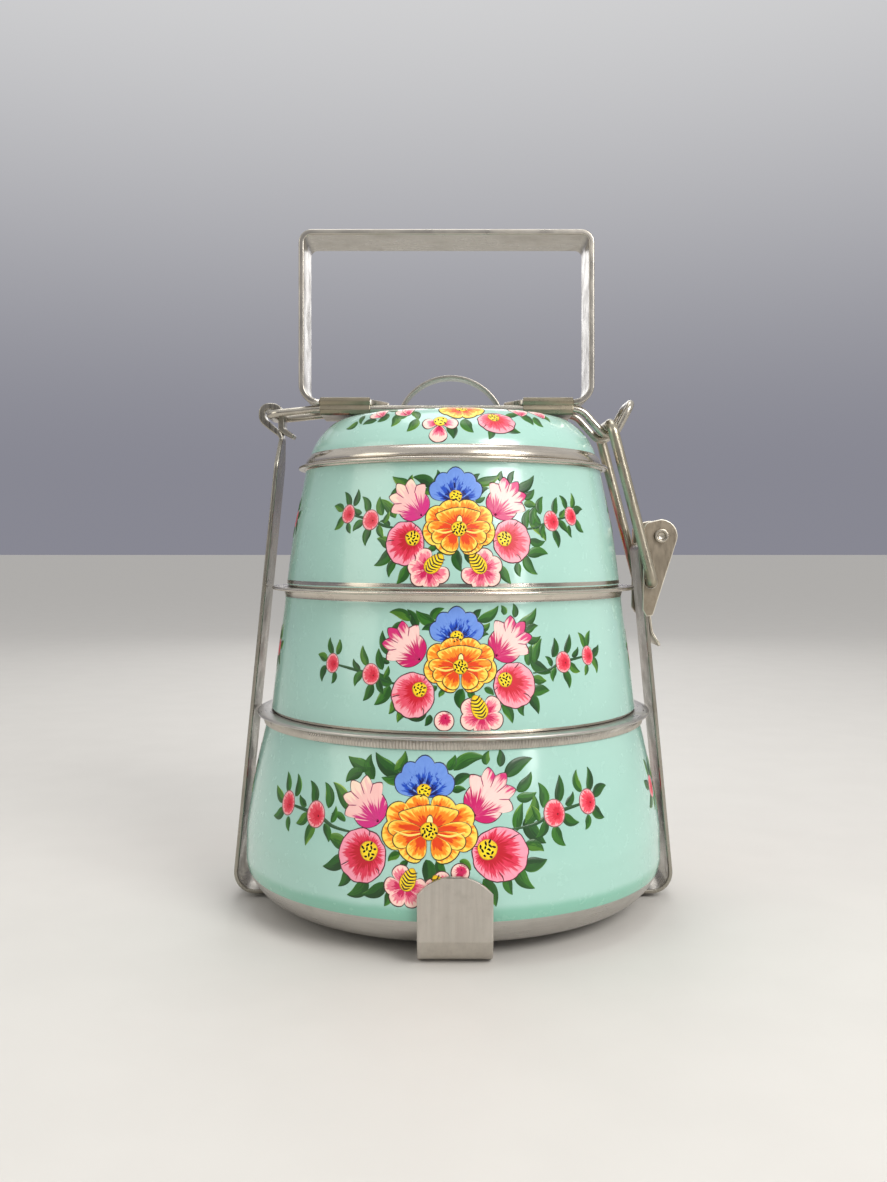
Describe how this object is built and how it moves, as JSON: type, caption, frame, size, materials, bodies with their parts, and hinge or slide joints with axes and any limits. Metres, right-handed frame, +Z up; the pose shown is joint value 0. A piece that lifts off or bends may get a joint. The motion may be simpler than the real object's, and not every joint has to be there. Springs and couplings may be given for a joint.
{
  "type": "tiffin carrier",
  "caption": "Stacked enamelled tiffin carrier: nested bowls and a domed lid held in a strap stand by a hinged wire bar, with a latch and a carrying handle.",
  "frame": {"origin": "centre of the stack on the table, at the underside of the cross strap", "axes": "+Z up along the stack, +X to the latch, -X to the bar's hinge, -Y to the front foot tab"},
  "size_m": [0.1737, 0.1676, 0.262],
  "materials": {
    "enamel": "glossy hand-painted enamel over steel, with bare steel rims and foot",
    "steel": "worn brushed steel, bright on the bends and scuffed on the flats"
  },
  "bodies": {
    "stand": {"u_strap": "steel", "cross_strap": "steel", "strap_rivets": "steel", "lever_rivet": "steel"},
    "base": {"base_container": "enamel"},
    "middle": {"middle_container": "enamel"},
    "top": {"top_container": "enamel"},
    "lid_body": {"lid": "enamel", "lid_arch": "steel", "arch_rivets": "steel"},
    "bar": {"top_bar": "steel", "left_sleeve": "steel", "right_sleeve": "steel", "carry_handle": "steel"},
    "link": {"latch_link": "steel"},
    "lever": {"latch_lever": "steel"}
  },
  "joints": [
    {"name": "bar_open", "type": "hinge", "parent": "stand", "child": "bar", "pos_m": [-0.0723, 0, 0.1899], "axis": [0, -1, 0], "range_deg": [0, 105]},
    {"name": "link_swing", "type": "hinge", "parent": "bar", "child": "link", "pos_m": [0.0611, 0, 0.1855], "axis": [0, -1, 0], "range_deg": [-120, 0]},
    {"name": "lever_open", "type": "hinge", "parent": "stand", "child": "lever", "pos_m": [0.081, 0, 0.142], "axis": [0, -1, 0], "range_deg": [0, 150]},
    {"name": "base_lift", "type": "slide", "parent": "stand", "child": "base", "axis": [0, 0, 1], "range_m": [0, 0.003]},
    {"name": "middle_lift", "type": "slide", "parent": "base", "child": "middle", "axis": [0, 0, 1], "range_m": [0, 0.005]},
    {"name": "top_lift", "type": "slide", "parent": "middle", "child": "top", "axis": [0, 0, 1], "range_m": [0, 0.014]},
    {"name": "lid_lift", "type": "slide", "parent": "top", "child": "lid_body", "axis": [0, 0, 1], "range_m": [0, 0.015]}
  ],
  "couplings": [
    {"joint": "link_swing", "follows": "bar_open", "ratio": -1.14},
    {"joint": "base_lift", "follows": "bar_open", "m_per_rad": 0.0016},
    {"joint": "middle_lift", "follows": "bar_open", "m_per_rad": 0.0027},
    {"joint": "top_lift", "follows": "bar_open", "m_per_rad": 0.0076},
    {"joint": "lid_lift", "follows": "bar_open", "m_per_rad": 0.0081}
  ]
}
